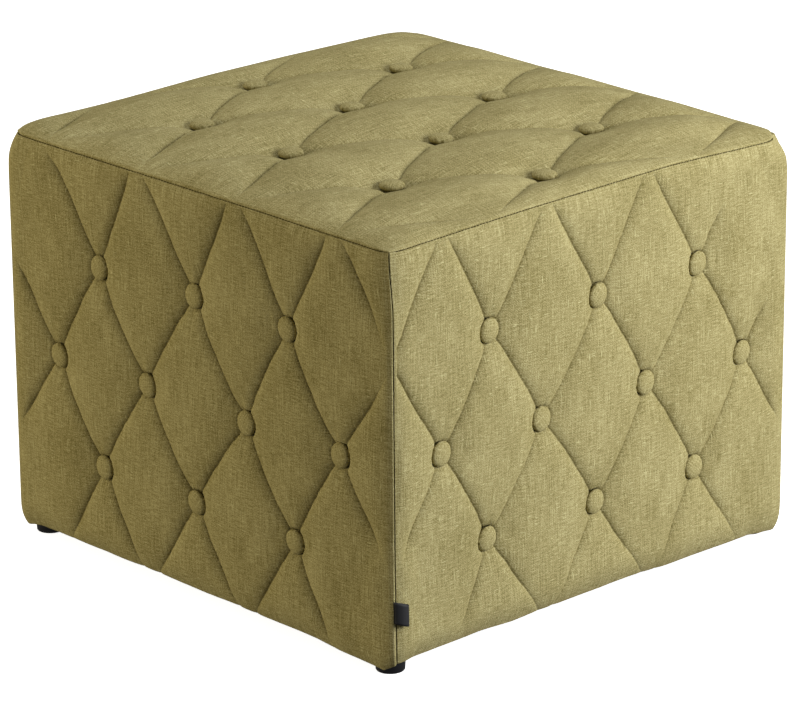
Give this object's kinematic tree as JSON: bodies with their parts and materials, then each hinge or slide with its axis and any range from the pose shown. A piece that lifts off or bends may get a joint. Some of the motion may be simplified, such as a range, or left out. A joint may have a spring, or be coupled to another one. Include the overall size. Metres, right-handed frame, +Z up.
{
  "type": "cube pouf stool",
  "caption": "Cube-shaped upholstered stool with deep button-tufted fabric top and sides, a crowned top that slopes down to its seam, and low round glides.",
  "frame": {"origin": "on the floor under the middle of the stool", "axes": "+Z up, -Y out of the front panel, +X out of the right panel, which carries the side tab at its front edge"},
  "size_m": [0.5005, 0.498, 0.3945],
  "materials": {
    "fabric": "olive green linen-look weave, matt",
    "black_plastic": "black moulded glides and black non-woven base lining",
    "black_tape": "black woven tape, plain"
  },
  "bodies": {
    "root": {"panel_front": "fabric", "panel_right": "fabric", "panel_back": "fabric", "panel_left": "fabric", "panel_top": "fabric", "button_front_1_2": "fabric", "button_front_1_4": "fabric", "button_front_1_6": "fabric", "button_front_2_1": "fabric", "button_front_2_3": "fabric", "button_front_2_5": "fabric", "button_front_2_7": "fabric", "button_front_3_2": "fabric", "button_front_3_4": "fabric", "button_front_3_6": "fabric", "button_right_1_2": "fabric", "button_right_1_4": "fabric", "button_right_1_6": "fabric", "button_right_2_1": "fabric", "button_right_2_3": "fabric", "button_right_2_5": "fabric", "button_right_2_7": "fabric", "button_right_3_2": "fabric", "button_right_3_4": "fabric", "button_right_3_6": "fabric", "button_back_1_2": "fabric", "button_back_1_4": "fabric", "button_back_1_6": "fabric", "button_back_2_1": "fabric", "button_back_2_3": "fabric", "button_back_2_5": "fabric", "button_back_2_7": "fabric", "button_back_3_2": "fabric", "button_back_3_4": "fabric", "button_back_3_6": "fabric", "button_left_1_2": "fabric", "button_left_1_4": "fabric", "button_left_1_6": "fabric", "button_left_2_1": "fabric", "button_left_2_3": "fabric", "button_left_2_5": "fabric", "button_left_2_7": "fabric", "button_left_3_2": "fabric", "button_left_3_4": "fabric", "button_left_3_6": "fabric", "button_top_1_2": "fabric", "button_top_1_4": "fabric", "button_top_1_6": "fabric", "button_top_2_1": "fabric", "button_top_2_3": "fabric", "button_top_2_5": "fabric", "button_top_2_7": "fabric", "button_top_3_2": "fabric", "button_top_3_4": "fabric", "button_top_3_6": "fabric", "base_board": "black_plastic", "side_tab": "black_tape"}
  },
  "joints": []
}
